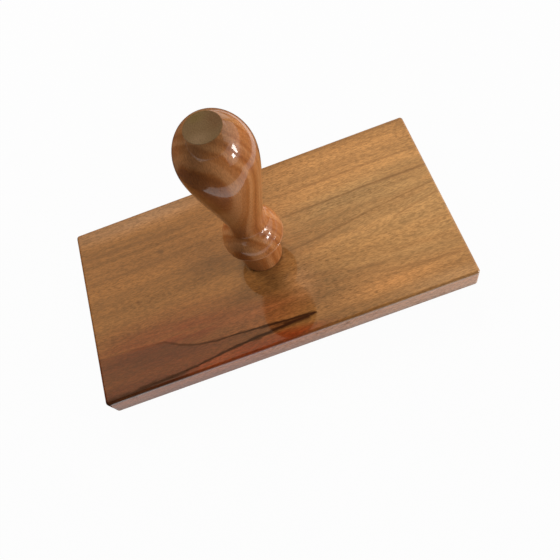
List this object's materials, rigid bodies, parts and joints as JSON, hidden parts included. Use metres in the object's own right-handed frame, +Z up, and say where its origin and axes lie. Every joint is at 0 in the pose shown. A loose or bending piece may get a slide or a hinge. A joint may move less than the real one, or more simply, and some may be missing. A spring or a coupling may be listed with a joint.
{
  "type": "butter mold",
  "caption": "Hand-held wooden butter mold: a flat varnished hardwood board, carved on its underside to print the butter, with a turned palm handle screwed to its centre.",
  "frame": {"origin": "centre of the board's underside, the carved face, on the surface that the mold stands on", "axes": "+X along the board's length, +Y across it to the back, +Z up the handle's axis"},
  "size_m": [0.2, 0.105, 0.123],
  "materials": {
    "board_wood": "gloss varnish",
    "handle_wood": "gloss varnish",
    "plug_wood": "satin varnish, end of the plug cut flush",
    "brass": "satin, turned"
  },
  "bodies": {
    "root": {"print_board": "board_wood", "turned_handle": "handle_wood", "handle_screw": "brass", "screw_plug": "plug_wood", "anti_turn_pin_1": "brass", "anti_turn_pin_2": "brass"}
  },
  "joints": []
}
